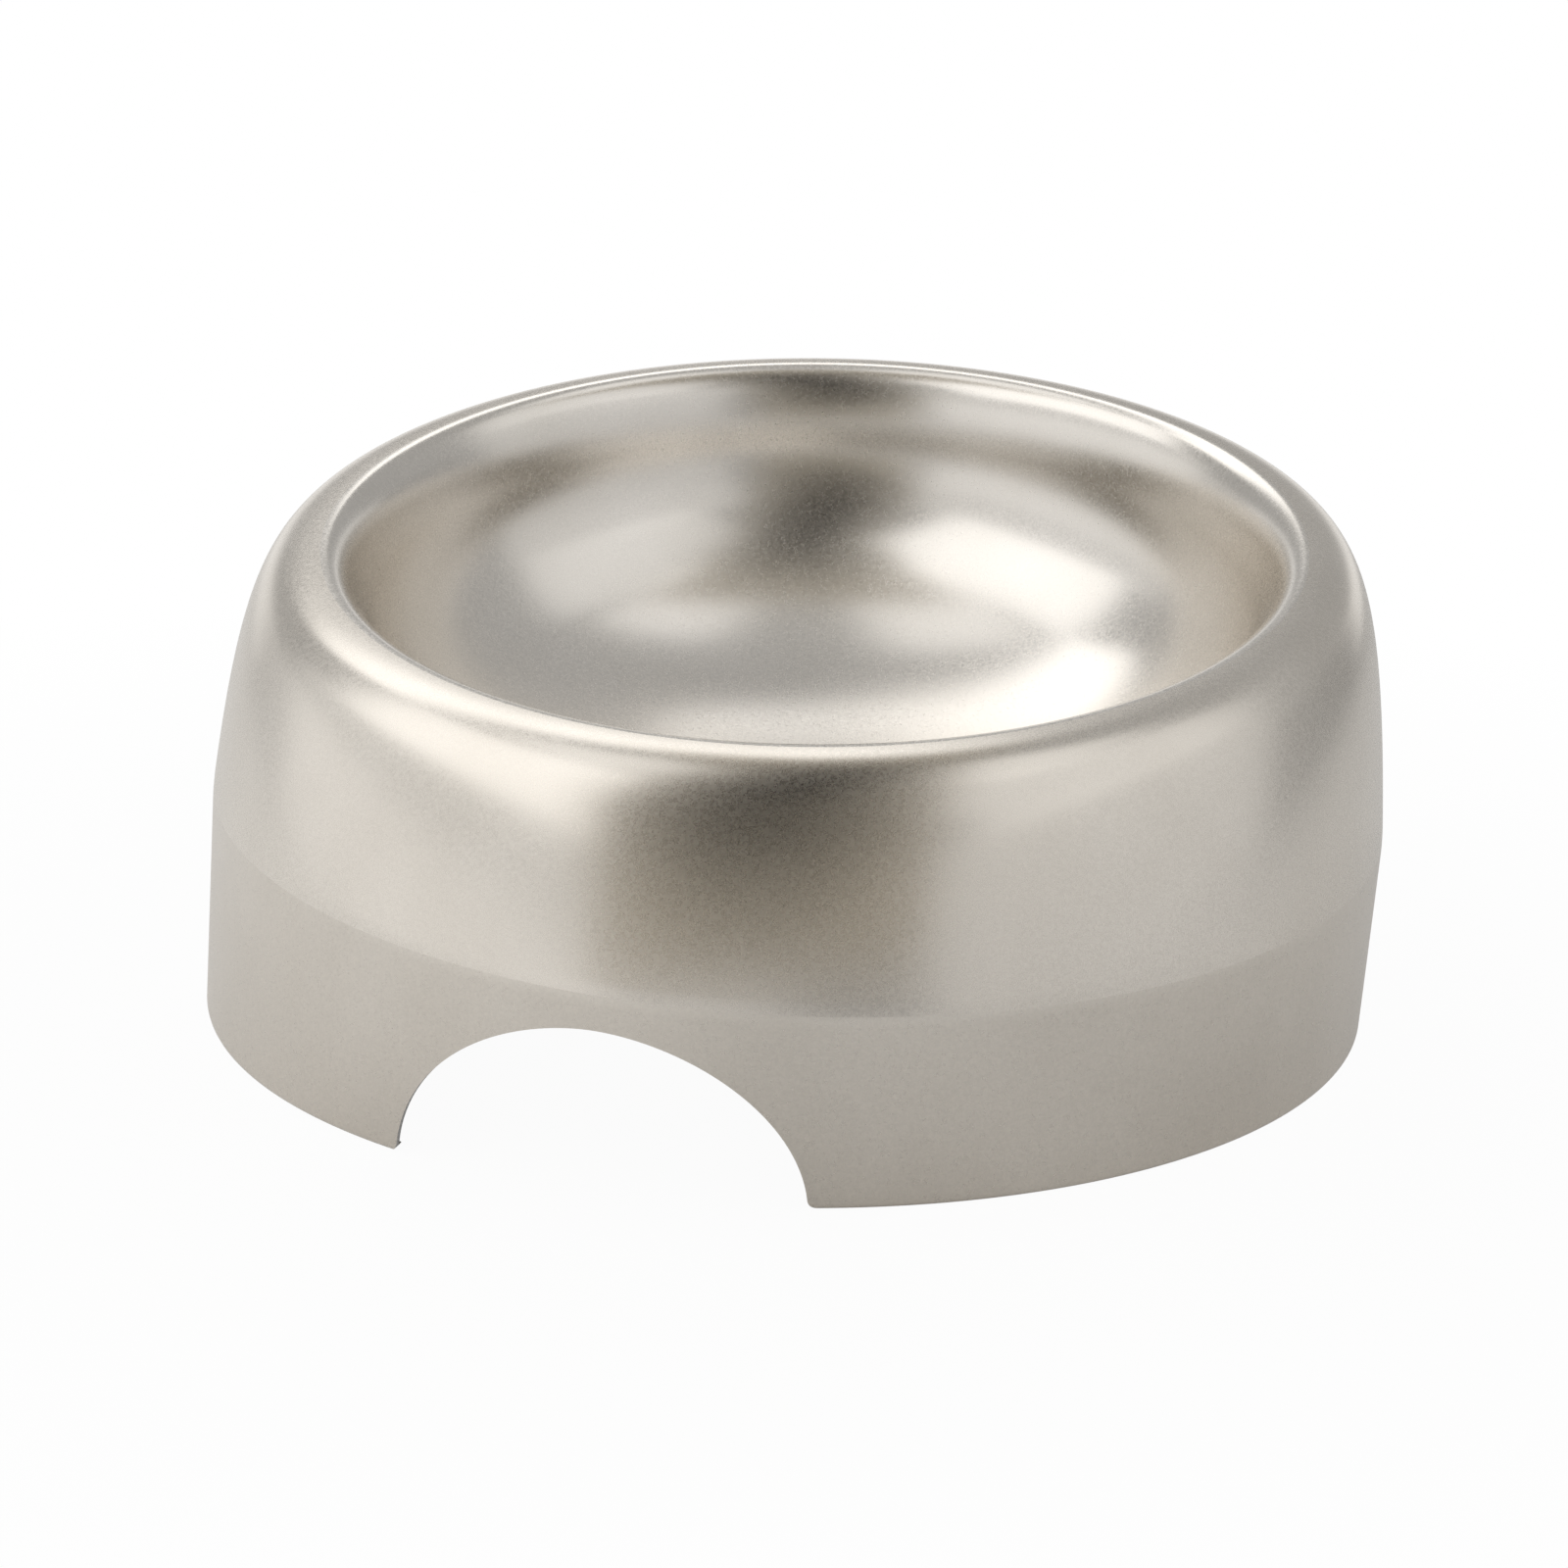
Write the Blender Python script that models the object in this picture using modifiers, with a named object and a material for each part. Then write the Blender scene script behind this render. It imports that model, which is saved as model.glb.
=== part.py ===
# Tilted cat bowl in stainless sheet: a drawn dish, a formed outer shell and a level base skirt.
# Metres, +Z up. The origin is on the floor at the middle of the foot, and -Y is the low side of the mouth.
import math
from collections import namedtuple

import bmesh
import bpy
from mathutils import Matrix, Vector

# The sheet, and the clearance left at each welded joint
SHEET = 0.0008
JOINT_GAP = 0.0003

# The foot: a level ring on the floor, its edge curled in to a narrow flat
BASE_RADIUS = 0.0752
FOOT_BEND = 0.0012
FOOT_WIDTH = 0.0024

# The crease between skirt and shell: its set-back from the foot, its centre and its tilt in degrees
CREASE_SET_BACK = 0.0002
CREASE_HEIGHT = 0.0282
CREASE_SHIFT_SIDE = 0.0016
CREASE_TILT_FRONT = 4.6
CREASE_TILT_SIDE = 1.3
NECK_LAP = 0.0040

# The mouth: the set-back of the lip's crown circle from the foot, its centre and its tilt in degrees
CROWN_SET_BACK = 0.0123
CROWN_HEIGHT = 0.0605
CROWN_SHIFT_SIDE = 0.0029
CROWN_SHIFT_BACK = 0.0030
CROWN_TILT_FRONT = 12.0
CROWN_TILT_SIDE = -0.9

# The outer wall: how far it leans in, the share of its height where it turns, and the shoulder's width
WALL_LEAN = 0.0025
WALL_TURN = 0.94
SHOULDER_REACH = 0.0063

# The dish below the crown, measured square to the mouth, and its wall's slope off that square in degrees
LIP_OVERHANG = 0.0055
LIP_DROP = 0.0100
LIP_ROUND = 0.55
DISH_DEPTH = 0.0385
DISH_WALL_SLOPE = 10.0
DISH_WALL_REACH = 0.0200
DISH_FLOOR_REACH = 0.0300
FLANGE_LAP = 0.0032

# The finger arch in the skirt: bearing from the low side, half width across, height and foot rounding
ARCH_BEARING = -16.3
ARCH_HALF_WIDTH = 0.0241
ARCH_HEIGHT = 0.0190
ARCH_FULLNESS = 1.9
ARCH_FOOT_ROUND = 0.0015

# Facets round the bowl, along each curve of its section, and along half of the arch
AROUND = 64
WALL_STEPS = 12
DISH_STEPS = 11
LIP_STEPS = 6
BEND_STEPS = 3
ARCH_STEPS = 12
SHARP_EDGE = 35.0

# Bead-blasted stainless steel
STEEL_COLOUR = (0.62, 0.60, 0.57, 1.0)
STEEL_ROUGHNESS = 0.32

RingPlane = namedtuple("RingPlane", "centre front side")

CREASE_RADIUS = BASE_RADIUS - CREASE_SET_BACK
CROWN_RADIUS = BASE_RADIUS - CROWN_SET_BACK
FOOT = RingPlane(Vector((0.0, 0.0, FOOT_BEND)), 0.0, 0.0)
CREASE = RingPlane(Vector((CREASE_SHIFT_SIDE, 0.0, CREASE_HEIGHT)), CREASE_TILT_FRONT, CREASE_TILT_SIDE)
CROWN_CENTRE = Vector((CROWN_SHIFT_SIDE, CROWN_SHIFT_BACK, CROWN_HEIGHT))
CROWN = RingPlane(CROWN_CENTRE, CROWN_TILT_FRONT, CROWN_TILT_SIDE)
WALL_RISE = CROWN_HEIGHT - CREASE_HEIGHT
STEP_IN = SHEET + JOINT_GAP


def clear_scene():
    for thing in list(bpy.data.objects):
        bpy.data.objects.remove(thing, do_unlink=True)


def new_collection(name):
    collection = bpy.data.collections.new(name)
    bpy.context.scene.collection.children.link(collection)
    return collection


def satin_steel(name):
    """Bead-blasted stainless steel, one material for each piece."""
    material = bpy.data.materials.new(name)
    material.use_nodes = True
    shader = material.node_tree.nodes["Principled BSDF"]
    shader.inputs["Base Color"].default_value = STEEL_COLOUR
    shader.inputs["Metallic"].default_value = 1.0
    shader.inputs["Roughness"].default_value = STEEL_ROUGHNESS
    return material


def plane_matrix(plane):
    """The frame of a ring: its axis leans to the front (-Y) and to the side (+X) by the plane's angles."""
    lean_side = math.tan(math.radians(plane.side))
    lean_front = math.tan(math.radians(plane.front))
    axis = Vector((lean_side, -lean_front, 1.0)).normalized()
    across = Vector((0.0, 1.0, 0.0)).cross(axis).normalized()
    matrix = Matrix((across, axis.cross(across), axis)).transposed().to_4x4()
    matrix.translation = plane.centre
    return matrix


def plane_between(lower, upper, share):
    """The ring plane that lies the given share of the way from one plane to the other."""
    centre = lower.centre.lerp(upper.centre, share)
    front = lower.front + (upper.front - lower.front) * share
    side = lower.side + (upper.side - lower.side) * share
    return RingPlane(centre, front, side)


def ring(plane, radius, rise=0.0):
    """Points of a circle on a ring plane, the given rise above it."""
    matrix = plane_matrix(plane)
    turns = [2.0 * math.pi * step / AROUND for step in range(AROUND)]
    return [matrix @ Vector((radius * math.cos(turn), radius * math.sin(turn), rise)) for turn in turns]


def bezier(start, leave, arrive, end, share):
    """A point on a cubic curve in the section plane."""
    rest = 1.0 - share
    weights = (rest**3, 3 * rest**2 * share, 3 * rest * share**2, share**3)
    corners = (start, leave, arrive, end)
    return tuple(sum(w * c[k] for w, c in zip(weights, corners)) for k in range(2))


def wall_section(share):
    """Radius and height share of the outer wall, from the crease (0) over the shoulder to the crown (1)."""
    crease = (CREASE_RADIUS, 0.0)
    lean = (CREASE_RADIUS - WALL_LEAN, WALL_TURN)
    shoulder = (CROWN_RADIUS + SHOULDER_REACH, 1.0)
    crown = (CROWN_RADIUS, 1.0)
    return bezier(crease, lean, shoulder, crown, share)


def wall_share_where(passed):
    """Where the wall, followed up from the crease, first passes a test on radius and height, by halving."""
    low, high = 0.0, 1.0
    for _ in range(40):
        middle = (low + high) / 2.0
        if passed(*wall_section(middle)):
            high = middle
        else:
            low = middle
    return high


def shoulder_share(radius):
    """Where on the shoulder the wall has come in to a radius."""
    return wall_share_where(lambda wall_radius, height_share: wall_radius <= radius)


def wall_ring(share, inset=0.0):
    """One ring of the outer wall, drawn in by the inset."""
    radius, height_share = wall_section(share)
    return ring(plane_between(CREASE, CROWN, height_share), radius - inset)


def add_object(name, mesh, collection):
    piece = bpy.data.objects.new(name, mesh)
    collection.objects.link(piece)
    return piece


def lofted_sheet(name, rings, collection):
    """An open sheet through rings listed from bottom to top, its outer side facing out."""
    shape = bmesh.new()
    rows = [[shape.verts.new(point) for point in points] for points in rings]
    for lower, upper in zip(rows, rows[1:]):
        for step in range(AROUND):
            after = (step + 1) % AROUND
            shape.faces.new((lower[step], lower[after], upper[after], upper[step]))
    mesh = bpy.data.meshes.new(name)
    shape.to_mesh(mesh)
    shape.free()
    return add_object(name, mesh, collection)


def give_thickness(piece):
    """Sheet thickness laid behind the visible side."""
    wall = piece.modifiers.new("sheet", "SOLIDIFY")
    wall.thickness = SHEET
    wall.offset = -1.0
    wall.use_even_offset = True


def finish(piece):
    piece.data.materials.append(satin_steel(piece.name + "_steel"))
    piece.data.shade_smooth()
    piece.data.set_sharp_from_angle(angle=math.radians(SHARP_EDGE))


def dish_section():
    """The dish's visible side from the middle of its floor up over the lip to the end of its flange."""
    mouth = CROWN_RADIUS - LIP_OVERHANG
    slope = math.radians(DISH_WALL_SLOPE)
    floor = (0.0, -DISH_DEPTH)
    floor_end = (DISH_FLOOR_REACH, -DISH_DEPTH)
    wall_start = (mouth - DISH_WALL_REACH * math.sin(slope), -LIP_DROP - DISH_WALL_REACH * math.cos(slope))
    wall_end = (mouth, -LIP_DROP)
    section = [bezier(floor, floor_end, wall_start, wall_end, step / DISH_STEPS) for step in range(DISH_STEPS)]
    lip_leave = (mouth + LIP_DROP * LIP_ROUND * math.tan(slope), -LIP_DROP * (1.0 - LIP_ROUND))
    lip_arrive = (CROWN_RADIUS - LIP_OVERHANG * LIP_ROUND, 0.0)
    crown = (CROWN_RADIUS, 0.0)
    section += [bezier(wall_end, lip_leave, lip_arrive, crown, step / LIP_STEPS) for step in range(LIP_STEPS + 1)]
    flange_end = CROWN_RADIUS + FLANGE_LAP
    shoulder_fall = (1.0 - wall_section(shoulder_share(flange_end))[1]) * WALL_RISE
    section.append((CROWN_RADIUS, -STEP_IN))
    section.append((flange_end, -STEP_IN - shoulder_fall))
    return section


def make_dish(collection):
    """A turned sheet square to the mouth, with a stepped flange under the shell's upper edge."""
    section = dish_section()
    shape = bmesh.new()
    points = [shape.verts.new((radius, 0.0, height)) for radius, height in section]
    for near, far in zip(points, points[1:]):
        shape.edges.new((near, far))
    mesh = bpy.data.meshes.new("dish")
    shape.to_mesh(mesh)
    shape.free()
    dish = add_object("dish", mesh, collection)
    dish.matrix_world = plane_matrix(CROWN)
    turn = dish.modifiers.new("turn", "SCREW")
    turn.steps = turn.render_steps = AROUND
    turn.use_merge_vertices = True
    turn.merge_threshold = 0.00001
    turn.use_smooth_shade = True
    give_thickness(dish)
    finish(dish)


def make_outer_shell(collection):
    """A sheet lofted from the crease ring to the crown ring, each on a tilt of its own."""
    rings = [ring(CREASE, CREASE_RADIUS, JOINT_GAP)]
    last = shoulder_share(CROWN_RADIUS + JOINT_GAP)
    rings += [wall_ring(last * step / WALL_STEPS) for step in range(1, WALL_STEPS + 1)]
    shell = lofted_sheet("outer_shell", rings, collection)
    give_thickness(shell)
    finish(shell)


def arch_width_at(height):
    """Half the arch's width at a height above the floor."""
    return ARCH_HALF_WIDTH * (1.0 - (height / ARCH_HEIGHT) ** ARCH_FULLNESS) ** (1.0 / ARCH_FULLNESS)


def arch_outline():
    """Half of the arch from its foot to its apex: across and up, with the foot's corner rounded."""
    start = arch_width_at(ARCH_FOOT_ROUND)
    middle = start + ARCH_FOOT_ROUND
    outline = [(middle, -ARCH_FOOT_ROUND)]
    for step in range(BEND_STEPS + 1):
        turn = math.pi / 2.0 * (1.0 - step / BEND_STEPS)
        across = middle - ARCH_FOOT_ROUND * math.cos(turn)
        outline.append((across, ARCH_FOOT_ROUND * (1.0 - math.sin(turn))))
    rise_start = math.asin((ARCH_FOOT_ROUND / ARCH_HEIGHT) ** (ARCH_FULLNESS / 2.0))
    for step in range(1, ARCH_STEPS + 1):
        turn = rise_start + (math.pi / 2.0 - rise_start) * step / ARCH_STEPS
        across = ARCH_HALF_WIDTH * max(math.cos(turn), 0.0) ** (2.0 / ARCH_FULLNESS)
        outline.append((across, ARCH_HEIGHT * math.sin(turn) ** (2.0 / ARCH_FULLNESS)))
    return outline


def make_arch_cutter(collection):
    """A prism with the arch's outline, reaching a fifth of the radius to either side of the foot."""
    half = arch_outline()
    outline = half + [(-across, up) for across, up in reversed(half[:-1])]
    shape = bmesh.new()
    reach = BASE_RADIUS * 0.2
    outside = -BASE_RADIUS - reach
    face = shape.faces.new([shape.verts.new((across, outside, up)) for across, up in outline])
    grown = bmesh.ops.extrude_face_region(shape, geom=[face])
    moved = [item for item in grown["geom"] if isinstance(item, bmesh.types.BMVert)]
    bmesh.ops.translate(shape, verts=moved, vec=(0.0, 2.0 * reach, 0.0))
    bmesh.ops.recalc_face_normals(shape, faces=shape.faces)
    mesh = bpy.data.meshes.new("arch_cutter")
    shape.to_mesh(mesh)
    shape.free()
    cutter = add_object("arch_cutter", mesh, collection)
    cutter.rotation_euler.z = math.radians(ARCH_BEARING)
    cutter.hide_render = True
    cutter.display_type = "WIRE"
    return cutter


def skirt_rings():
    """The skirt's outer side from the flange on the floor to the neck inside the shell."""
    rings = [ring(FOOT, BASE_RADIUS - FOOT_WIDTH, -FOOT_BEND)]
    for step in range(BEND_STEPS + 1):
        turn = math.pi / 2.0 * step / BEND_STEPS
        radius = BASE_RADIUS - FOOT_BEND * (1.0 - math.sin(turn))
        rings.append(ring(FOOT, radius, -FOOT_BEND * math.cos(turn)))
    middle = plane_between(FOOT, CREASE, 0.5)
    rings.append(ring(middle, (BASE_RADIUS + CREASE_RADIUS) / 2.0))
    rings.append(ring(CREASE, CREASE_RADIUS))
    rings.append(ring(CREASE, CREASE_RADIUS - STEP_IN))
    neck_top = wall_share_where(lambda wall_radius, height_share: height_share * WALL_RISE >= NECK_LAP)
    rings.append(wall_ring(neck_top, STEP_IN))
    return rings


def make_base_skirt(collection, cutters):
    """A level band with a turned-in foot, a stepped neck and the finger arch cut through its front."""
    skirt = lofted_sheet("base_skirt", skirt_rings(), collection)
    give_thickness(skirt)
    arch = skirt.modifiers.new("finger_arch", "BOOLEAN")
    arch.operation = "DIFFERENCE"
    arch.solver = "EXACT"
    arch.object = make_arch_cutter(cutters)
    finish(skirt)


clear_scene()
bowl = new_collection("tilted_cat_bowl")
cutters = new_collection("cutters")
make_dish(bowl)
make_outer_shell(bowl)
make_base_skirt(bowl, cutters)
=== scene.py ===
import math

import bmesh
import bpy
from mathutils import Matrix, Vector
from mathutils.geometry import interpolate_bezier


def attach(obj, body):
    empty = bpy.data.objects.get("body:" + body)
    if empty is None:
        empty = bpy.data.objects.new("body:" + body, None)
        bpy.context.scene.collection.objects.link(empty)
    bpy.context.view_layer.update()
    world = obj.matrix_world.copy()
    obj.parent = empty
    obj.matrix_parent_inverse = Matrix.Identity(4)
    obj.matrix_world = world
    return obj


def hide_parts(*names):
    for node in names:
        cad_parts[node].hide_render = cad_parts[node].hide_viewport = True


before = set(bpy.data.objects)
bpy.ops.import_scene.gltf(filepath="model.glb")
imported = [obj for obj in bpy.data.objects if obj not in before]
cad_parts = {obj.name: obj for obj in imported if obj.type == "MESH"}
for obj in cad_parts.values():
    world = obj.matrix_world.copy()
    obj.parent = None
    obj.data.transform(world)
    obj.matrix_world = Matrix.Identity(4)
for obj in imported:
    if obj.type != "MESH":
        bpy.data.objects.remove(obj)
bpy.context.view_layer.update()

# Base skirt: the band of stainless sheet that the bowl stands on, level below and a little tilted on top.
# It is rolled and welded into a ring, with its foot edge curled in and the finger arch punched through it.
# A stepped neck on top is welded inside the outer shell, and the outside is blasted with fine beads.
SHEET = 0.0008
FOOT_RADIUS = 0.0752
FOOT_CURL = 0.0012
FOOT_WIDTH = 0.0016
CREASE_RADIUS = 0.0750
CREASE_HEIGHT = 0.0282
CREASE_SOFTNESS = 0.05
NECK_STEP = 0.0011
NECK_SHARE = 0.12
WALL_HANDLE_IN = 0.0025
WALL_HANDLE_UP = 0.94
WALL_LEAN = WALL_HANDLE_IN / WALL_HANDLE_UP
CROWN_HEIGHT = 0.0605
FACETS_AROUND = 256
CURL_STEPS = 8
SKIRT_STEPS = 40
CREASE_CROWDING = 1.6
SHARP_EDGE = math.radians(35.0)


def leaning(front, side):
    """The axis of a ring that leans to the front and to the side by these angles in degrees."""
    return Vector((math.tan(math.radians(side)), -math.tan(math.radians(front)), 1.0))


ring_stack = {
    "Foot Centre": Vector((0.0, 0.0, 0.0)),
    "Foot Axis": leaning(front=0.0, side=0.0),
    "Crease Centre": Vector((0.0016, 0.0, CREASE_HEIGHT)),
    "Crease Axis": leaning(front=4.6, side=1.3),
    "Crown Centre": Vector((0.0029, 0.0030, CROWN_HEIGHT)),
    "Crown Axis": leaning(front=12.0, side=-0.9),
    "Crease Softness": CREASE_SOFTNESS,
    "Facets Around": FACETS_AROUND,
}


def grow_ring_tree():
    """Geometry Nodes that turn a section line into a sheet on three rings: foot, crease and crown.
    A point of the line holds a radius, a rise above its ring, and its place: 0 foot, 1 crease, 2 crown."""
    tree = bpy.data.node_groups.new("sheet_on_rings", "GeometryNodeTree")
    tree.interface.new_socket("Section", in_out="INPUT", socket_type="NodeSocketGeometry")
    for ring in ("Foot", "Crease", "Crown"):
        for part in ("Centre", "Axis"):
            tree.interface.new_socket(f"{ring} {part}", in_out="INPUT", socket_type="NodeSocketVector")
    tree.interface.new_socket("Crease Softness", in_out="INPUT", socket_type="NodeSocketFloat")
    tree.interface.new_socket("Facets Around", in_out="INPUT", socket_type="NodeSocketInt")
    tree.interface.new_socket("Steel", in_out="INPUT", socket_type="NodeSocketMaterial")
    tree.interface.new_socket("Sheet", in_out="OUTPUT", socket_type="NodeSocketGeometry")
    given = tree.nodes.new("NodeGroupInput").outputs

    def node(kind, *feeds, **settings):
        made = tree.nodes.new(kind)
        for name, value in settings.items():
            setattr(made, name, value)
        for place, feed in enumerate(feeds):
            if isinstance(feed, bpy.types.NodeSocket):
                tree.links.new(feed, made.inputs[place])
            elif feed is not None:
                made.inputs[place].default_value = feed
        return made.outputs

    def sums(operation, *feeds):
        return node("ShaderNodeMath", *feeds, operation=operation)[0]

    def arrows(operation, *feeds):
        return node("ShaderNodeVectorMath", *feeds, operation=operation)[0]

    def between(share, lower, upper):
        return node("ShaderNodeMix", share, None, None, None, lower, upper, data_type="VECTOR")[1]

    def stretched(arrow, length):
        return arrows("SCALE", arrow, None, None, length)

    # The grid has one column of points for each step round the ring and one row for each section point
    rows = node("GeometryNodeAttributeDomainSize", given["Section"], component="MESH")[0]
    columns = sums("ADD", given["Facets Around"], 1.0)
    grid = node("GeometryNodeMeshGrid", 1.0, 1.0, columns, rows)[0]
    index = node("GeometryNodeInputIndex")[0]
    row = sums("MODULO", index, rows)
    turn = sums("FLOOR", sums("DIVIDE", index, rows))
    here = node("GeometryNodeInputPosition")[0]
    point = node("GeometryNodeSampleIndex", given["Section"], here, row, data_type="FLOAT_VECTOR")[0]
    radius, rise, place = node("ShaderNodeSeparateXYZ", point)

    # Shares of the way from foot to crease and from crease to crown, eased into each other at the crease
    soft = given["Crease Softness"]
    past = sums("SUBTRACT", place, 1.0)
    ease = node("ShaderNodeMapRange", past, sums("MULTIPLY", soft, -1.0), soft, 0.0, 1.0)[0]
    bend = sums("MULTIPLY", soft, sums("MULTIPLY", ease, ease))
    upper = sums("ADD", bend, sums("MAXIMUM", sums("SUBTRACT", past, soft), 0.0))
    lower = sums("SUBTRACT", place, upper)
    low_centre = between(lower, given["Foot Centre"], given["Crease Centre"])
    low_axis = between(lower, given["Foot Axis"], given["Crease Axis"])
    centre = between(upper, low_centre, given["Crown Centre"])
    axis = arrows("NORMALIZE", between(upper, low_axis, given["Crown Axis"]))
    across = arrows("NORMALIZE", arrows("CROSS_PRODUCT", (0.0, 1.0, 0.0), axis))
    along = arrows("CROSS_PRODUCT", axis, across)

    # Each point goes round its own ring
    angle = sums("DIVIDE", sums("MULTIPLY", turn, 2.0 * math.pi), given["Facets Around"])
    sideways = stretched(across, sums("MULTIPLY", radius, sums("COSINE", angle)))
    backwards = stretched(along, sums("MULTIPLY", radius, sums("SINE", angle)))
    spot = arrows("ADD", arrows("ADD", centre, stretched(axis, rise)), arrows("ADD", sideways, backwards))
    placed = node("GeometryNodeSetPosition", grid, None, spot)[0]
    joined = tree.nodes.new("GeometryNodeMergeByDistance")
    joined.inputs["Distance"].default_value = 0.000001
    tree.links.new(placed, joined.inputs["Geometry"])
    smooth = node("GeometryNodeSetShadeSmooth", joined.outputs[0])[0]
    real = node("GeometryNodeRealizeInstances", smooth)[0]
    finished = node("GeometryNodeSetMaterial", real, None, given["Steel"])[0]
    tree.links.new(finished, tree.nodes.new("NodeGroupOutput").inputs[0])
    return tree


ring_tree = grow_ring_tree()


def settle(piece):
    """Turns what the modifiers give into the piece's own plain mesh."""
    shown = piece.evaluated_get(bpy.context.evaluated_depsgraph_get())
    mesh = bpy.data.meshes.new_from_object(shown)
    piece.modifiers.clear()
    piece.data = mesh
    mesh.name = piece.name


def roll_sheet(name, section, steel):
    """A sheet of the bowl's steel from its section line, with its thickness behind the side that shows."""
    line = bpy.data.meshes.new(name + "_section")
    line.from_pydata(section, [(k, k + 1) for k in range(len(section) - 1)], [])
    piece = bpy.data.objects.new(name, line)
    bpy.context.scene.collection.objects.link(piece)
    rings = piece.modifiers.new("rings", "NODES")
    rings.node_group = ring_tree
    for socket in ring_tree.interface.items_tree:
        if socket.name in ring_stack:
            rings[socket.identifier] = ring_stack[socket.name]
        elif socket.name == "Steel":
            rings[socket.identifier] = steel
    settle(piece)
    thickness = piece.modifiers.new("thickness", "SOLIDIFY")
    thickness.thickness = SHEET
    thickness.offset = -1.0
    thickness.use_even_offset = True
    settle(piece)
    return piece


def beaded_steel(name, shift, deep, pale, smoothest, dullest):
    """Stainless steel blasted with fine glass beads: a warm grey with an even, dull, crooked grain."""
    steel = bpy.data.materials.new(name)
    steel.use_nodes = True
    nodes, links = steel.node_tree.nodes, steel.node_tree.links
    shader = nodes["Principled BSDF"]
    shader.inputs["Metallic"].default_value = 1.0
    place = nodes.new("ShaderNodeTexCoord").outputs["Object"]
    moved = nodes.new("ShaderNodeMapping")
    moved.inputs["Location"].default_value = shift
    links.new(place, moved.inputs["Vector"])

    def noise(scale, detail, distortion=0.0):
        grain = nodes.new("ShaderNodeTexNoise")
        grain.inputs["Scale"].default_value = scale
        grain.inputs["Detail"].default_value = detail
        grain.inputs["Distortion"].default_value = distortion
        links.new(moved.outputs["Vector"], grain.inputs["Vector"])
        return grain.outputs["Fac"]

    def spread(source, low, high):
        """Most of a noise lies between 0.3 and 0.7, and this spreads it from low to high."""
        fit = nodes.new("ShaderNodeMapRange")
        fit.inputs["From Min"].default_value = 0.3
        fit.inputs["From Max"].default_value = 0.7
        fit.inputs["To Min"].default_value = low
        fit.inputs["To Max"].default_value = high
        links.new(source, fit.inputs["Value"])
        return fit.outputs["Result"]

    # The sheet's colour drifts a little over a few centimetres
    tint = nodes.new("ShaderNodeMix")
    tint.data_type = "RGBA"
    tint.inputs[6].default_value = (*deep, 1.0)
    tint.inputs[7].default_value = (*pale, 1.0)
    drift = noise(scale=38.0, detail=3.0)
    links.new(spread(drift, low=0.0, high=1.0), tint.inputs[0])

    # The bead marks run together into a fine crooked grain, which shows in colour, gloss and relief
    marks = noise(scale=2300.0, detail=1.0, distortion=0.8)
    grained = nodes.new("ShaderNodeVectorMath")
    grained.operation = "SCALE"
    links.new(tint.outputs[2], grained.inputs[0])
    links.new(spread(marks, low=0.96, high=1.04), grained.inputs["Scale"])
    links.new(grained.outputs[0], shader.inputs["Base Color"])
    links.new(spread(marks, low=smoothest, high=dullest), shader.inputs["Roughness"])
    relief = nodes.new("ShaderNodeBump")
    relief.inputs["Strength"].default_value = 0.06
    relief.inputs["Distance"].default_value = 0.00002
    links.new(marks, relief.inputs["Height"])
    links.new(relief.outputs["Normal"], shader.inputs["Normal"])
    return steel


def crease_ease(place):
    """How far the radius gives way near the crease, so that skirt and shell run into each other."""
    past = place - 1.0
    ease = min(max((past + CREASE_SOFTNESS) / (2.0 * CREASE_SOFTNESS), 0.0), 1.0)
    eased = CREASE_SOFTNESS * ease**2 + max(past - CREASE_SOFTNESS, 0.0)
    return (-WALL_LEAN - CREASE_RADIUS + FOOT_RADIUS) * (eased - max(past, 0.0))


section = [(FOOT_RADIUS - FOOT_WIDTH, 0.0, 0.0)]
for step in range(CURL_STEPS + 1):
    turn = math.pi / 2.0 * step / CURL_STEPS
    height = FOOT_CURL * (1.0 - math.cos(turn))
    section.append((FOOT_RADIUS - FOOT_CURL * (1.0 - math.sin(turn)), 0.0, height / CREASE_HEIGHT))
first = FOOT_CURL / CREASE_HEIGHT
for step in range(1, SKIRT_STEPS + 1):
    rise = 1.0 - (1.0 - step / SKIRT_STEPS) ** CREASE_CROWDING
    place = first + (1.0 - first) * rise
    radius = FOOT_RADIUS + (CREASE_RADIUS - FOOT_RADIUS) * rise + crease_ease(place)
    section.append((radius, 0.0, place))
section.append((CREASE_RADIUS - NECK_STEP, 0.0, 1.0))
section.append((CREASE_RADIUS - WALL_LEAN * NECK_SHARE - NECK_STEP, 0.0, 1.0 + NECK_SHARE))
# The skirt's steel is a little darker than the shell's steel: painted shade that darkens the skirt below
# the crease.
skirt_steel = beaded_steel(
    "skirt_steel",
    shift=(0.0, 0.0, 0.0),
    deep=(0.72, 0.67, 0.60),
    pale=(0.79, 0.74, 0.67),
    smoothest=0.27,
    dullest=0.33,
)
base_skirt = roll_sheet("base_skirt", section, skirt_steel)

ARCH_BEARING = -16.3
ARCH_HALF_WIDTH = 0.0241
ARCH_HEIGHT = 0.0190
ARCH_FULLNESS = 1.9
ARCH_FOOT_ROUND = 0.0015
ARCH_ROUND_STEPS = 6
ARCH_STEPS = 40
PUNCH_FRONT = -0.09
PUNCH_DEPTH = 0.03


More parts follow.
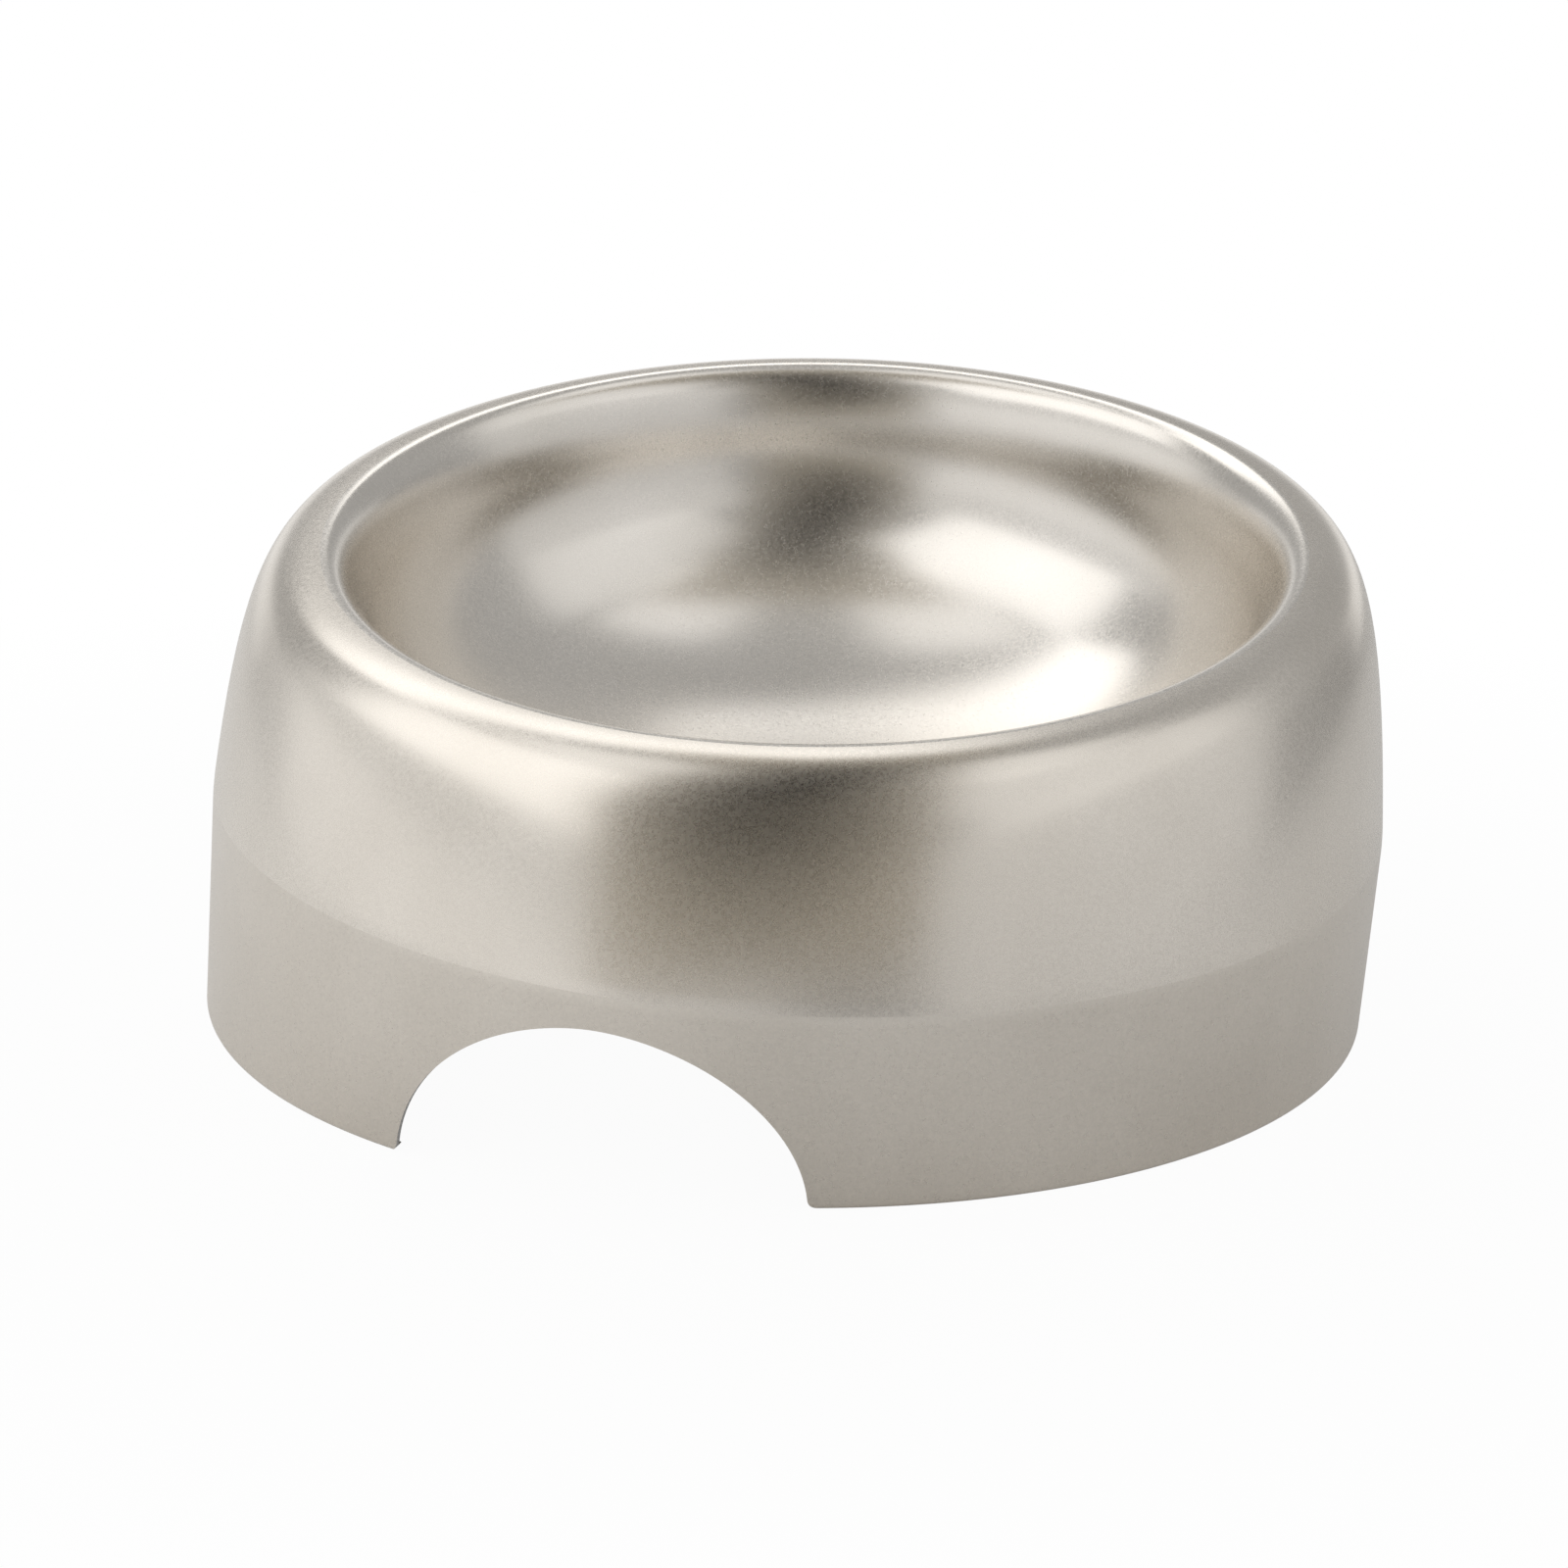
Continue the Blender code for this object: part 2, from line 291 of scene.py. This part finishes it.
def arch_outline():
    """Half of the arch from its rounded foot corner to its apex, as across and up."""
    low = math.asin((ARCH_FOOT_ROUND / ARCH_HEIGHT) ** (ARCH_FULLNESS / 2.0))
    middle = ARCH_HALF_WIDTH * math.cos(low) ** (2.0 / ARCH_FULLNESS) + ARCH_FOOT_ROUND
    points = [(middle, -ARCH_FOOT_ROUND)]
    for step in range(ARCH_ROUND_STEPS + 1):
        turn = math.pi / 2.0 * step / ARCH_ROUND_STEPS
        across = middle - ARCH_FOOT_ROUND * math.sin(turn)
        points.append((across, ARCH_FOOT_ROUND * (1.0 - math.cos(turn))))
    for step in range(1, ARCH_STEPS + 1):
        turn = low + (math.pi / 2.0 - low) * step / ARCH_STEPS
        across = ARCH_HALF_WIDTH * max(math.cos(turn), 0.0) ** (2.0 / ARCH_FULLNESS)
        points.append((across, ARCH_HEIGHT * math.sin(turn) ** (2.0 / ARCH_FULLNESS)))
    return points


half_arch = arch_outline()
outline = half_arch + [(-across, up) for across, up in reversed(half_arch[:-1])]
punch_shape = bmesh.new()
face = punch_shape.faces.new([punch_shape.verts.new((across, PUNCH_FRONT, up)) for across, up in outline])
grown = bmesh.ops.extrude_face_region(punch_shape, geom=[face])
moved = [item for item in grown["geom"] if isinstance(item, bmesh.types.BMVert)]
bmesh.ops.translate(punch_shape, verts=moved, vec=(0.0, PUNCH_DEPTH, 0.0))
bmesh.ops.recalc_face_normals(punch_shape, faces=punch_shape.faces)
bearing_turn = Matrix.Rotation(math.radians(ARCH_BEARING), 4, "Z")
bmesh.ops.transform(punch_shape, matrix=bearing_turn, verts=punch_shape.verts)
punch_mesh = bpy.data.meshes.new("arch_punch")
punch_shape.to_mesh(punch_mesh)
punch_shape.free()
punch = bpy.data.objects.new("arch_punch", punch_mesh)
bpy.context.scene.collection.objects.link(punch)
arch = base_skirt.modifiers.new("finger_arch", "BOOLEAN")
arch.operation = "DIFFERENCE"
arch.solver = "EXACT"
arch.use_self = True
arch.object = punch
settle(base_skirt)
bpy.data.objects.remove(punch)
base_skirt.data.set_sharp_from_angle(angle=SHARP_EDGE)
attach(base_skirt, "root")
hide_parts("base_skirt")

# Outer shell: the stainless wall from the crease up over the shoulder to the crown of the lip.
# It is formed from one sheet on a tilted former and welded to the skirt's neck and the dish's flange.
# Both welds are ground flush and blasted, so that only the soft crease shows.
CROWN_RADIUS = 0.0629
SHOULDER_HANDLE = 0.0063
WALL_STEPS = 80


def wall_point(share):
    """Radius and height share of the outer wall, from the crease over the shoulder to the crown."""
    crease = (CREASE_RADIUS, 0.0)
    lean = (CREASE_RADIUS - WALL_HANDLE_IN, WALL_HANDLE_UP)
    shoulder = (CROWN_RADIUS + SHOULDER_HANDLE, 1.0)
    crown = (CROWN_RADIUS, 1.0)
    rest = 1.0 - share
    weights = (rest**3, 3 * rest**2 * share, 3 * rest * share**2, share**3)
    corners = (crease, lean, shoulder, crown)
    return tuple(sum(weight * corner[k] for weight, corner in zip(weights, corners)) for k in range(2))


section = []
for step in range(WALL_STEPS + 1):
    radius, height_share = wall_point(step / WALL_STEPS)
    section.append((radius + crease_ease(1.0 + height_share), 0.0, 1.0 + height_share))
shell_steel = beaded_steel(
    "shell_steel",
    shift=(0.31, 0.17, 0.05),
    deep=(0.75, 0.70, 0.63),
    pale=(0.82, 0.77, 0.70),
    smoothest=0.25,
    dullest=0.31,
)
outer_shell = roll_sheet("outer_shell", section, shell_steel)
outer_shell.data.set_sharp_from_angle(angle=SHARP_EDGE)
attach(outer_shell, "root")
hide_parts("outer_shell")

# Dish: the bowl for the food, deep drawn from a round of stainless sheet square to the tilted mouth.
# Its mouth is rolled out to the crown of the lip, and a stepped flange outside that tucks under the shell.
# The inside is beaded like the outside, and a little smoother.
MOUTH_SET_BACK = 0.0055
MOUTH_RADIUS = CROWN_RADIUS - MOUTH_SET_BACK
LIP_DROP = 0.0100
LIP_TOP_HANDLE = 0.0030
LIP_SIDE_HANDLE = 0.0055
DISH_SLOPE = math.radians(10.0)
DISH_DEPTH = 0.0385
DISH_WALL_HANDLE = 0.0200
DISH_FLOOR_HANDLE = 0.0300
FLANGE_LAP = 0.0032
FLANGE_DROP = 0.0006
LIP_POINTS = 33
DISH_POINTS = 97
ON_CROWN = 2.0


def profile(start, leave, arrive, end, steps):
    """Points along a curve of the dish's section, as radius and rise above the crown."""
    corners = [Vector((*corner, 0.0)) for corner in (start, leave, arrive, end)]
    return [(point.x, point.y, ON_CROWN) for point in interpolate_bezier(*corners, steps)]


crown = (CROWN_RADIUS, 0.0)
crown_leave = (CROWN_RADIUS - LIP_TOP_HANDLE, 0.0)
lip_arrive = (MOUTH_RADIUS + LIP_SIDE_HANDLE * math.tan(DISH_SLOPE), -LIP_DROP + LIP_SIDE_HANDLE)
lip_end = (MOUTH_RADIUS, -LIP_DROP)
wall_in = DISH_WALL_HANDLE * math.sin(DISH_SLOPE)
wall_down = DISH_WALL_HANDLE * math.cos(DISH_SLOPE)
wall_leave = (MOUTH_RADIUS - wall_in, -LIP_DROP - wall_down)
floor_arrive = (DISH_FLOOR_HANDLE, -DISH_DEPTH)
floor_middle = (0.0, -DISH_DEPTH)
section = [
    (CROWN_RADIUS + FLANGE_LAP, -SHEET - FLANGE_DROP, ON_CROWN),
    (CROWN_RADIUS, -SHEET, ON_CROWN),
]
section += profile(crown, crown_leave, lip_arrive, lip_end, LIP_POINTS)
section += profile(lip_end, wall_leave, floor_arrive, floor_middle, DISH_POINTS)[1:]
# The dish's steel is paler and less warm than the shell's steel: painted light for the brighter inside of
# the dish.
dish_steel = beaded_steel(
    "dish_steel",
    shift=(-0.22, 0.41, 0.13),
    deep=(0.77, 0.73, 0.67),
    pale=(0.84, 0.80, 0.745),
    smoothest=0.21,
    dullest=0.28,
)
dish = roll_sheet("dish", section, dish_steel)
dish.data.set_sharp_from_angle(angle=SHARP_EDGE)
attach(dish, "root")
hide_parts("dish")

# Floor: a plain white sheet of studio paper, white to the camera and, in part, in the steel.
# It is a large flat plane, and tall sheets of the same paper stand far off on its four sides.
# The sheet behind the bowl glows whiter than the others in the steel: painted light.
PAPER_REACH = 4.0
PAPER_HEIGHT = 1.4
BACK_SHEET = 3
SHADOW_NEAR = 0.08
SHADOW_FAR = 0.26
WHITE_NEAR = 0.96
# Painted light: across these places on the paper, the white that glows in the steel falls from the left
# share to the right share.
PAINTED_LIGHT_FROM = -0.13
PAINTED_LIGHT_TO = 0.0


def white_paper(name, left_painted_light, right_painted_light):
    """Paper that is white to the camera and keeps a faint shadow near the bowl.
    The left and right shares are how much glowing white the steel shows on the left and on the right:
    painted light, brighter in the steel on the left."""
    paper = bpy.data.materials.new(name)
    paper.use_nodes = True
    nodes, links = paper.node_tree.nodes, paper.node_tree.links
    nodes.remove(nodes["Principled BSDF"])
    matt = nodes.new("ShaderNodeBsdfDiffuse")
    matt.inputs["Color"].default_value = (0.8, 0.8, 0.8, 1.0)
    glow = nodes.new("ShaderNodeEmission")
    glow.inputs["Strength"].default_value = 1.0
    rays = nodes.new("ShaderNodeLightPath").outputs
    spot = nodes.new("ShaderNodeTexCoord")
    away = nodes.new("ShaderNodeVectorMath")
    away.operation = "LENGTH"
    links.new(spot.outputs["Object"], away.inputs[0])
    fade = nodes.new("ShaderNodeMapRange")
    fade.inputs["From Min"].default_value = SHADOW_NEAR
    fade.inputs["From Max"].default_value = SHADOW_FAR
    fade.inputs["To Min"].default_value = WHITE_NEAR
    links.new(away.outputs["Value"], fade.inputs["Value"])
    direct = nodes.new("ShaderNodeMath")
    direct.operation = "MULTIPLY"
    links.new(rays["Is Camera Ray"], direct.inputs[0])
    links.new(fade.outputs["Result"], direct.inputs[1])
    across = nodes.new("ShaderNodeSeparateXYZ")
    links.new(spot.outputs["Object"], across.inputs[0])
    # Painted light: the glowing white that the steel shows is a larger share on the left of the paper than
    # on its right.
    painted_light_share = nodes.new("ShaderNodeMapRange")
    painted_light_share.inputs["From Min"].default_value = PAINTED_LIGHT_FROM
    painted_light_share.inputs["From Max"].default_value = PAINTED_LIGHT_TO
    painted_light_share.inputs["To Min"].default_value = left_painted_light
    painted_light_share.inputs["To Max"].default_value = right_painted_light
    links.new(across.outputs["X"], painted_light_share.inputs["Value"])
    bounced = nodes.new("ShaderNodeMath")
    bounced.operation = "MAXIMUM"
    links.new(rays["Is Glossy Ray"], bounced.inputs[0])
    links.new(rays["Is Transmission Ray"], bounced.inputs[1])
    share = nodes.new("ShaderNodeMath")
    share.operation = "MULTIPLY_ADD"
    links.new(bounced.outputs[0], share.inputs[0])
    links.new(painted_light_share.outputs["Result"], share.inputs[1])
    links.new(direct.outputs[0], share.inputs[2])
    mix = nodes.new("ShaderNodeMixShader")
    links.new(share.outputs[0], mix.inputs[0])
    links.new(matt.outputs[0], mix.inputs[1])
    links.new(glow.outputs[0], mix.inputs[2])
    links.new(mix.outputs[0], nodes["Material Output"].inputs["Surface"])
    return paper


paper_corners = []
for height in (0.0, PAPER_HEIGHT):
    for side, back in ((-1, -1), (1, -1), (1, 1), (-1, 1)):
        paper_corners.append((side * PAPER_REACH, back * PAPER_REACH, height))
paper_sheets = [(0, 1, 2, 3), (0, 4, 5, 1), (1, 5, 6, 2), (2, 6, 7, 3), (3, 7, 4, 0)]
floor_mesh = bpy.data.meshes.new("floor")
floor_mesh.from_pydata(paper_corners, [], paper_sheets)
# Painted light: the floor and side sheets glow whiter in the steel on the left than on the right.
floor_mesh.materials.append(white_paper("white_paper", left_painted_light=0.43, right_painted_light=0.12))
# Painted light: the sheet behind the bowl glows almost pure white in the steel.
floor_mesh.materials.append(white_paper("back_paper_painted_light", left_painted_light=0.95, right_painted_light=0.95))
floor_mesh.polygons[BACK_SHEET].material_index = 1
floor = bpy.data.objects.new("floor", floor_mesh)
bpy.context.scene.collection.objects.link(floor)

# Studio light: a grey tent all round, with soft boxes that brighten its left side, right side and back.
# A soft-edged dark card, hidden from the camera, is hung in an arc over the front of the bowl,
# and the steel shows it as the dark patches on the front wall and in the dish.
TARGET = Vector((0.0, 0.0, 0.030))
TENT_GREY = (0.41, 0.41, 0.41, 1.0)
BOX_DISTANCE = 0.9
world = bpy.context.scene.world or bpy.data.worlds.new("studio")
bpy.context.scene.world = world
world.use_nodes = True
world.node_tree.nodes["Background"].inputs["Color"].default_value = TENT_GREY


def soft_box(name, bearing, lift, width, height, glow):
    """An area lamp that faces the bowl: bearing from the camera's side and lift from level, in degrees."""
    lamp = bpy.data.lights.new(name, "AREA")
    lamp.shape = "RECTANGLE"
    lamp.size = width
    lamp.size_y = height
    lamp.energy = glow * math.pi * width * height
    box = bpy.data.objects.new(name, lamp)
    turn, rise = math.radians(bearing), math.radians(lift)
    way = Vector((math.sin(turn) * math.cos(rise), -math.cos(turn) * math.cos(rise), math.sin(rise)))
    box.location = TARGET + way * BOX_DISTANCE
    box.rotation_euler = way.to_track_quat("Z", "Y").to_euler()
    bpy.context.scene.collection.objects.link(box)


soft_box("left_box", bearing=-72.0, lift=18.0, width=1.5, height=0.60, glow=0.33)
soft_box("left_mid_box", bearing=-72.0, lift=50.0, width=0.95, height=0.50, glow=0.95)
soft_box("left_top_box", bearing=-85.0, lift=75.0, width=0.60, height=0.30, glow=0.70)
soft_box("right_box", bearing=58.0, lift=18.0, width=1.25, height=0.60, glow=0.30)
soft_box("right_mid_box", bearing=64.0, lift=50.0, width=0.90, height=0.50, glow=0.45)
soft_box("right_top_box", bearing=82.0, lift=74.0, width=0.50, height=0.30, glow=0.60)
soft_box("back_box", bearing=202.0, lift=50.5, width=0.65, height=0.28, glow=1.30)

CARD_REACH = 0.15
CARD_WIDTH = 0.128
CARD_SHIFT = -0.016
CARD_SWAY = 0.022
CARD_TAPER = 0.45
CARD_ROWS = 34
CARD_COLUMNS = 13
CARD_LOWEST = 6.0
CARD_ROW_LIFT = 3.0
TAPER_FROM = 36.0
TAPER_OVER = 36.0
LOW_END, LOW_FADE = 33.0, 27.0
HIGH_END, HIGH_FADE = 72.0, 33.0
SHADE_START, SHADE_FALL = 0.66, 0.0130
DARKEST_HIGH, DARKEST_LOW = 0.02, 0.16
EDGE_SHADE = 0.9
EDGE_SOFTNESS = 1.6
CARD_WARMTH = (1.0, 0.94, 0.83)
card_points = []
card_shades = []
for row in range(CARD_ROWS):
    lift = CARD_LOWEST + CARD_ROW_LIFT * row
    rise = math.radians(lift)
    forward, upward = CARD_REACH * math.cos(rise), CARD_REACH * math.sin(rise)
    narrow = min(max((lift - TAPER_FROM) / TAPER_OVER, 0.0), 1.0)
    half_width = CARD_WIDTH / 2.0 * (1.0 - CARD_TAPER * narrow)
    middle = CARD_SHIFT + CARD_SWAY * narrow
    deepest = min(max(SHADE_START - SHADE_FALL * lift, DARKEST_HIGH), DARKEST_LOW)
    ends = max((LOW_END - lift) / LOW_FADE, (lift - HIGH_END) / HIGH_FADE, 0.0)
    for column in range(CARD_COLUMNS):
        side = 2.0 * column / (CARD_COLUMNS - 1) - 1.0
        card_points.append(TARGET + Vector((middle + side * half_width, -forward, upward)))
        edge = min(math.hypot(side, ends), 1.0)
        card_shades.append(deepest + (EDGE_SHADE - deepest) * edge**EDGE_SOFTNESS)
starts = [row * CARD_COLUMNS + column for row in range(CARD_ROWS - 1) for column in range(CARD_COLUMNS - 1)]
card_faces = [(k, k + 1, k + 1 + CARD_COLUMNS, k + CARD_COLUMNS) for k in starts]
card_mesh = bpy.data.meshes.new("dark_card")
card_mesh.from_pydata(card_points, [], card_faces)
shades = card_mesh.attributes.new("shade", "FLOAT", "POINT")
shades.data.foreach_set("value", card_shades)
card_paint = bpy.data.materials.new("dark_card")
card_paint.use_nodes = True
nodes, links = card_paint.node_tree.nodes, card_paint.node_tree.links
shader = nodes["Principled BSDF"]
shader.inputs["Roughness"].default_value = 1.0
shader.inputs["Specular IOR Level"].default_value = 0.0
grey = nodes.new("ShaderNodeAttribute")
grey.attribute_name = "shade"
warm = nodes.new("ShaderNodeVectorMath")
warm.operation = "SCALE"
warm.inputs[0].default_value = CARD_WARMTH
links.new(grey.outputs["Fac"], warm.inputs["Scale"])
links.new(warm.outputs[0], shader.inputs["Base Color"])
card_mesh.materials.append(card_paint)
card = bpy.data.objects.new("dark_card", card_mesh)
card.visible_camera = False
bpy.context.scene.collection.objects.link(card)

# Camera: in front of the bowl and a little above it, where the photograph was taken from.
# Its distance, tilt, roll, lens and shift were fitted together with the bowl's outlines.
DISTANCE = 0.375
TILT = math.radians(15.196)
ROLL = math.radians(1.09)
lens = bpy.data.cameras.new("camera")
lens.sensor_width = 36.0
lens.lens = 66.06
lens.shift_x = -0.0020
lens.shift_y = -0.0152
camera = bpy.data.objects.new("camera", lens)
ahead = Vector((0.0, math.cos(TILT), -math.sin(TILT)))
up = Vector((0.0, math.sin(TILT), math.cos(TILT)))
stand = Matrix((Vector((1.0, 0.0, 0.0)), up, -ahead)).transposed().to_4x4()
camera.matrix_world = Matrix.Translation(TARGET - ahead * DISTANCE) @ stand @ Matrix.Rotation(ROLL, 4, "Z")
bpy.context.scene.collection.objects.link(camera)
bpy.context.scene.camera = camera
bpy.context.scene.view_settings.view_transform = "Standard"
